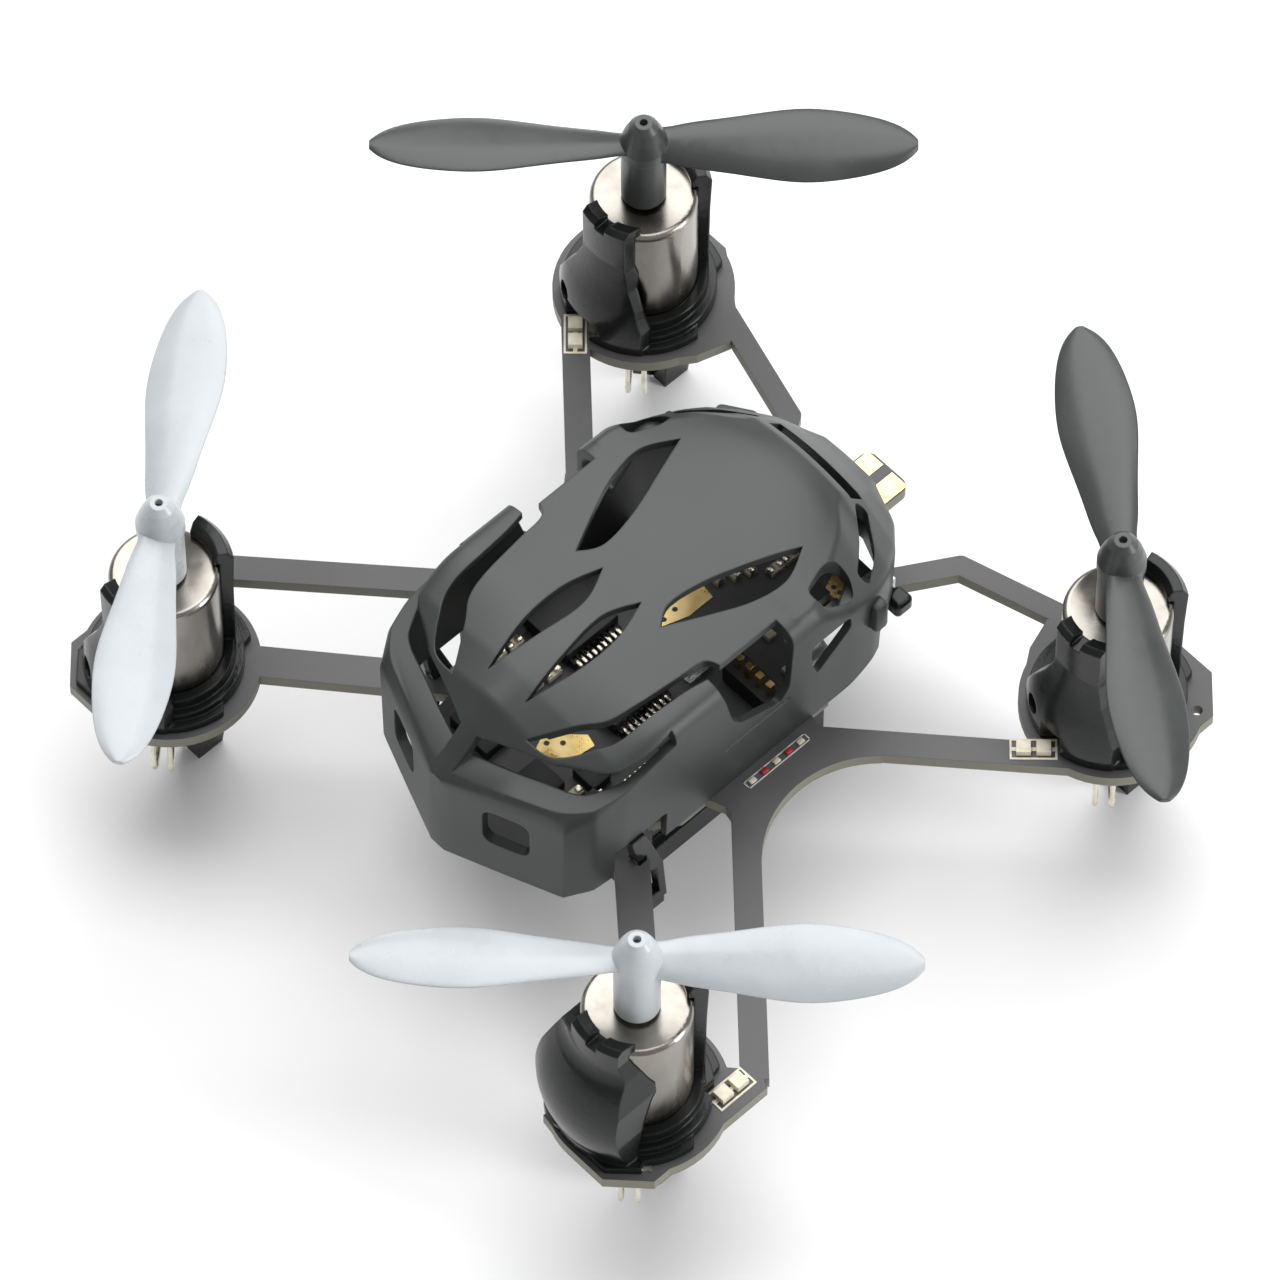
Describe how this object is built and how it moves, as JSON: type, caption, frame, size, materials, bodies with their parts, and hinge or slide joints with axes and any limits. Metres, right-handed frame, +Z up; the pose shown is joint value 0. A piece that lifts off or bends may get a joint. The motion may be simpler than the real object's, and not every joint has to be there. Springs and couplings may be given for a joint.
{
  "type": "palm-sized quadcopter drone",
  "caption": "Palm-sized quadcopter with a circuit-board airframe, a vented black canopy, clip-in coreless motors and two-blade propellers, white in front and black behind",
  "frame": {"origin": "on the surface the four feet stand on, under the centre of the four motor axes", "axes": "+Z up along the motor shafts, -Y towards the nose with the white propellers, +X towards the drone's left side"},
  "size_m": [0.0599, 0.0585, 0.0264],
  "materials": {
    "black_board": "satin black solder mask over glass fibre, pale cut edges",
    "gold_plate": "gold-plated copper, slightly tarnished",
    "chip_epoxy": "moulded black epoxy with a fine grain",
    "ivory_ceramic": "small ceramic chips with tinned ends",
    "bare_steel": "bright drawn steel",
    "gloss_black": "glossy black moulded nylon",
    "pouch_foil": "satin laminated foil with soft creases",
    "red_jacket": "soft insulation with a low sheen",
    "black_jacket": "soft insulation with a low sheen",
    "canopy_black": "fine-textured satin black moulding",
    "can_nickel": "bright nickel-plated drawn can",
    "white_nylon": "natural nylon",
    "bronze": "sintered bronze, oiled",
    "magnet_grey": "ground and nickel-flashed magnet",
    "copper_coil": "enamelled copper wire in a thin wound sleeve",
    "solder_tin": "tinned copper and solder",
    "prop_black": "satin black nylon",
    "prop_white": "milky, slightly translucent nylon"
  },
  "bodies": {
    "airframe": {"main_board": "black_board", "charge_contacts": "gold_plate", "mcu_chip": "chip_epoxy", "radio_chip": "chip_epoxy", "gyro_chip": "chip_epoxy", "crystal_can": "bare_steel", "motor_drivers": "chip_epoxy", "passives": "ivory_ceramic", "gold_pads": "gold_plate", "pin_header": "chip_epoxy", "header_contacts": "gold_plate", "power_switch_body": "bare_steel", "battery_cell": "pouch_foil", "battery_cradle": "gloss_black", "battery_lead_red": "red_jacket", "battery_lead_black": "black_jacket", "canopy_shell": "canopy_black", "arm_led_front_left": "ivory_ceramic", "motor_can_front_left": "can_nickel", "motor_end_cap_front_left": "white_nylon", "motor_bush_front_left": "bronze", "motor_magnet_front_left": "magnet_grey", "motor_clip_front_left": "gloss_black", "motor_leads_front_left": "solder_tin", "arm_led_front_right": "ivory_ceramic", "motor_can_front_right": "can_nickel", "motor_end_cap_front_right": "white_nylon", "motor_bush_front_right": "bronze", "motor_magnet_front_right": "magnet_grey", "motor_clip_front_right": "gloss_black", "motor_leads_front_right": "solder_tin", "arm_led_rear_left": "ivory_ceramic", "motor_can_rear_left": "can_nickel", "motor_end_cap_rear_left": "white_nylon", "motor_bush_rear_left": "bronze", "motor_magnet_rear_left": "magnet_grey", "motor_clip_rear_left": "gloss_black", "motor_leads_rear_left": "solder_tin", "arm_led_rear_right": "ivory_ceramic", "motor_can_rear_right": "can_nickel", "motor_end_cap_rear_right": "white_nylon", "motor_bush_rear_right": "bronze", "motor_magnet_rear_right": "magnet_grey", "motor_clip_rear_right": "gloss_black", "motor_leads_rear_right": "solder_tin"},
    "rotor_front_left": {"propeller_front_left": "prop_white", "motor_shaft_front_left": "bare_steel", "rotor_coil_front_left": "copper_coil"},
    "rotor_front_right": {"propeller_front_right": "prop_white", "motor_shaft_front_right": "bare_steel", "rotor_coil_front_right": "copper_coil"},
    "rotor_rear_left": {"propeller_rear_left": "prop_black", "motor_shaft_rear_left": "bare_steel", "rotor_coil_rear_left": "copper_coil"},
    "rotor_rear_right": {"propeller_rear_right": "prop_black", "motor_shaft_rear_right": "bare_steel", "rotor_coil_rear_right": "copper_coil"},
    "switch_slider": {"switch_knob": "gloss_black"}
  },
  "joints": [
    {"name": "spin_front_left", "type": "hinge", "parent": "airframe", "child": "rotor_front_left", "pos_m": [0.0185, -0.0178, 0.0242], "axis": [0, 0, 1], "continuous": true},
    {"name": "spin_front_right", "type": "hinge", "parent": "airframe", "child": "rotor_front_right", "pos_m": [-0.0185, -0.0178, 0.0242], "axis": [0, 0, 1], "continuous": true},
    {"name": "spin_rear_left", "type": "hinge", "parent": "airframe", "child": "rotor_rear_left", "pos_m": [0.0185, 0.0178, 0.0242], "axis": [0, 0, 1], "continuous": true},
    {"name": "spin_rear_right", "type": "hinge", "parent": "airframe", "child": "rotor_rear_right", "pos_m": [-0.0185, 0.0178, 0.0242], "axis": [0, 0, 1], "continuous": true},
    {"name": "switch_slide", "type": "slide", "parent": "airframe", "child": "switch_slider", "axis": [0, -1, 0], "range_m": [0, 0.0015]}
  ]
}
